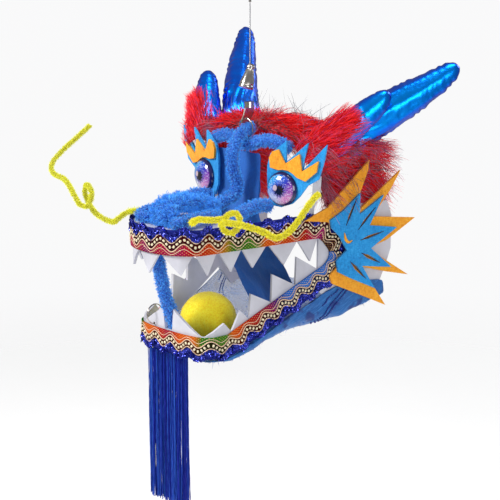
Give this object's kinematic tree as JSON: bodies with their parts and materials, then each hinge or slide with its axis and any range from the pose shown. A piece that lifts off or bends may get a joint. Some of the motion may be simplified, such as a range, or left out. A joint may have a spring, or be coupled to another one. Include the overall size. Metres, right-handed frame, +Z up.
{
  "type": "dragon dance head",
  "caption": "Hanging dragon dance head of board, plush, fur and felt, with an open toothed mouth, stuffed horns, spiky cheek fins, bent whiskers and a chin fringe.",
  "frame": {"origin": "top of the small loop at the upper end of the hanging wire, where the head hangs", "axes": "+Z up, the snout towards -Y, the dragon's own left towards +X"},
  "size_m": [0.3012, 0.2496, 0.4462],
  "materials": {
    "board": "pale foam board",
    "trim": "embroidered ribbon",
    "plush": "plush pile",
    "felt_blue": "felt",
    "felt_orange": "felt",
    "eye": "domed, printed behind",
    "fur": "long pile",
    "lame": "metallic cloth over filling",
    "cloth": "matt woven",
    "organza": "sheer woven",
    "pearl": "matt fuzzy",
    "chenille": "chenille",
    "fringe": "twisted threads",
    "steel": "polished"
  },
  "bodies": {
    "root": {"upper_board": "board", "lower_board": "board", "cheek_board_left": "board", "cheek_board_right": "board", "nose_board": "board", "eye_post_left": "board", "eye_post_right": "board", "upper_trim": "trim", "lower_trim": "trim", "snout": "plush", "nose_bridge": "plush", "brow_tube": "plush", "cheek_tube_left": "plush", "cheek_tube_right": "plush", "nostril_left": "plush", "nostril_right": "plush", "front_strut": "plush", "eye_felt_left": "felt_blue", "eye_felt_right": "felt_blue", "fin_front_left": "felt_blue", "fin_front_right": "felt_blue", "eye_flame_left": "felt_orange", "eye_flame_right": "felt_orange", "fin_back_left": "felt_orange", "fin_back_right": "felt_orange", "eye_left": "eye", "eye_right": "eye", "fur_band": "fur", "horn_left": "lame", "horn_right": "lame", "prong_left": "lame", "prong_right": "lame", "throat_cloth": "cloth", "chin_cloth": "organza", "pearl": "pearl", "whisker_left": "chenille", "whisker_right": "chenille", "fringe": "fringe", "split_ring": "steel", "hang_ring": "steel", "hook_plate": "steel", "hook_cap": "steel", "swivel": "steel", "ferrule": "steel", "hang_wire": "steel", "hang_sleeve": "steel", "hang_loop": "steel"}
  },
  "joints": []
}
